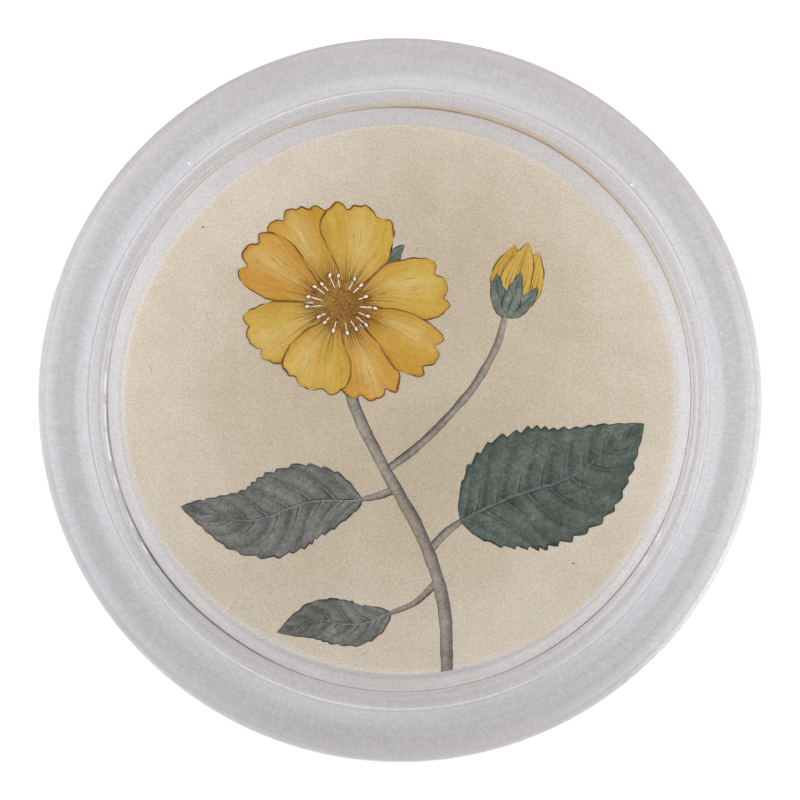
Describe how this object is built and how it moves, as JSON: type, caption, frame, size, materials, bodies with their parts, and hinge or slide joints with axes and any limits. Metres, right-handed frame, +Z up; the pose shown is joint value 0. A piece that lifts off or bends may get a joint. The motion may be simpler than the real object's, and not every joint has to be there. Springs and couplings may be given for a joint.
{
  "type": "glass coaster",
  "caption": "Round pressed-glass coaster with a rolled rim, a fine inner bead and a floral print sealed under its recessed seat.",
  "frame": {"origin": "centre of the coaster's underside, on the surface it stands on", "axes": "+Z up, through the seat; +Y towards the top of the print; +X to the print's right"},
  "size_m": [0.11, 0.11, 0.009],
  "materials": {
    "clear_glass": "polished, clear, slightly wavy",
    "cream_paper": "matt laid paper with a watercolour-style print",
    "white_card": "matt",
    "brown_felt": "fibrous felt"
  },
  "bodies": {
    "root": {"glass_body": "clear_glass", "printed_paper": "cream_paper", "backing_sheet": "white_card", "felt_pad": "brown_felt"}
  },
  "joints": []
}
